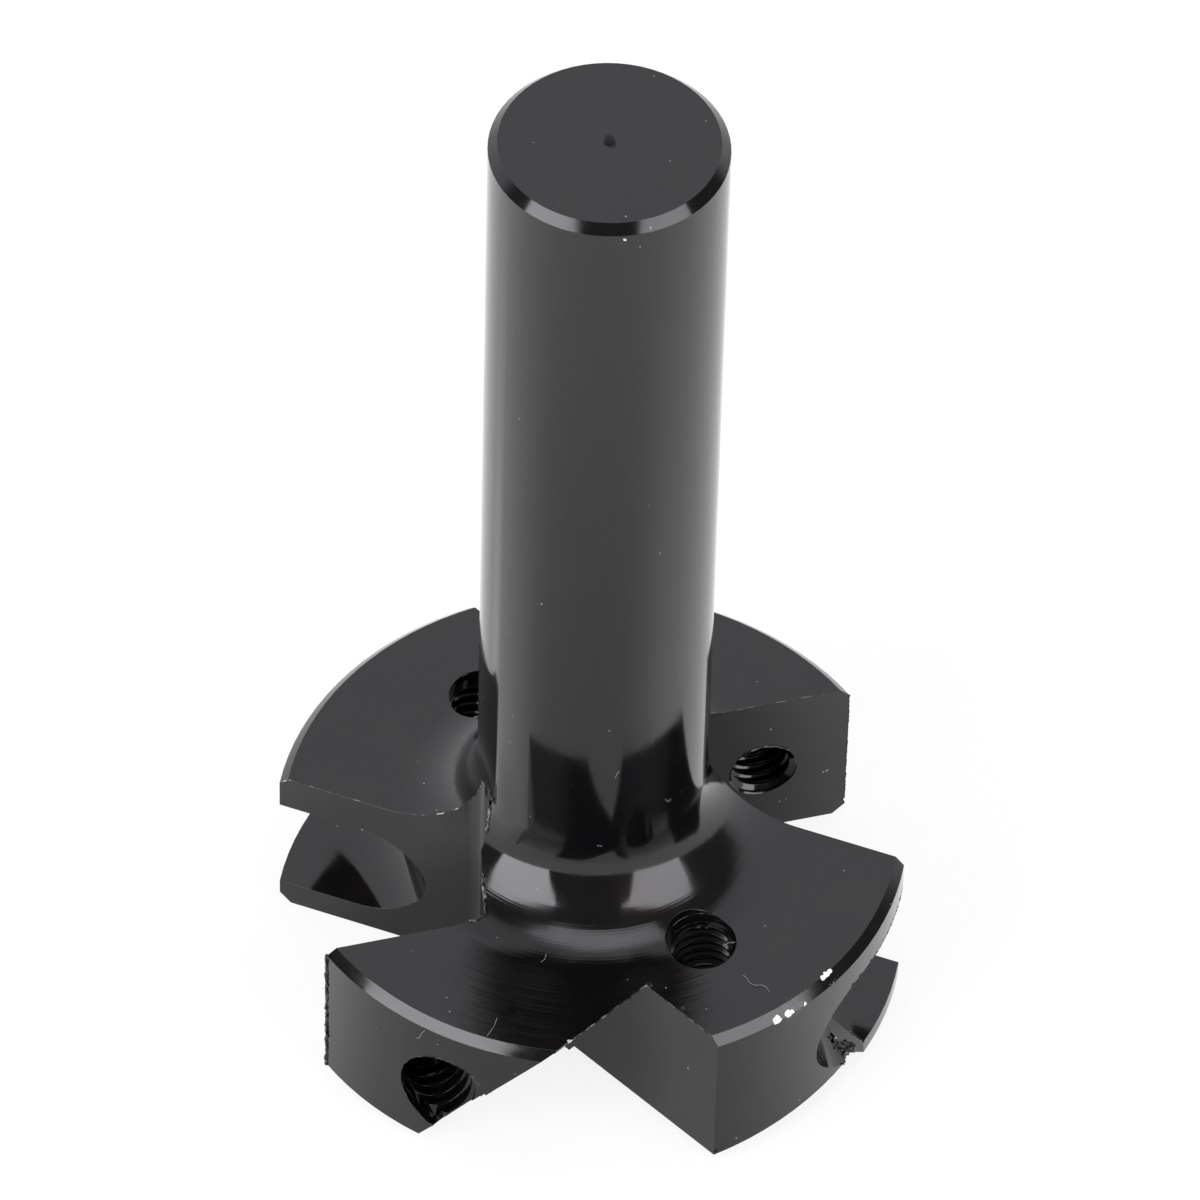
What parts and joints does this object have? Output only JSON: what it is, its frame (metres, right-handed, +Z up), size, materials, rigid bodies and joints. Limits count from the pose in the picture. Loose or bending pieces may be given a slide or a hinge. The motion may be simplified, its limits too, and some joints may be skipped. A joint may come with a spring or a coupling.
{
  "type": "surfacing router bit",
  "caption": "Bare steel body of a surfacing router bit: straight shank, hollow neck and thick slotted disc with seats for square inserts, in black oxide.",
  "frame": {"origin": "middle of the disc's flat underside, on the axis", "axes": "+Z up along the shank; X along the upright seat faces"},
  "size_m": [0.033, 0.0346, 0.0633],
  "materials": {
    "black_steel": "black oxide, semi-gloss, with turning marks"
  },
  "bodies": {
    "root": {"cutter_body": "black_steel"}
  },
  "joints": []
}
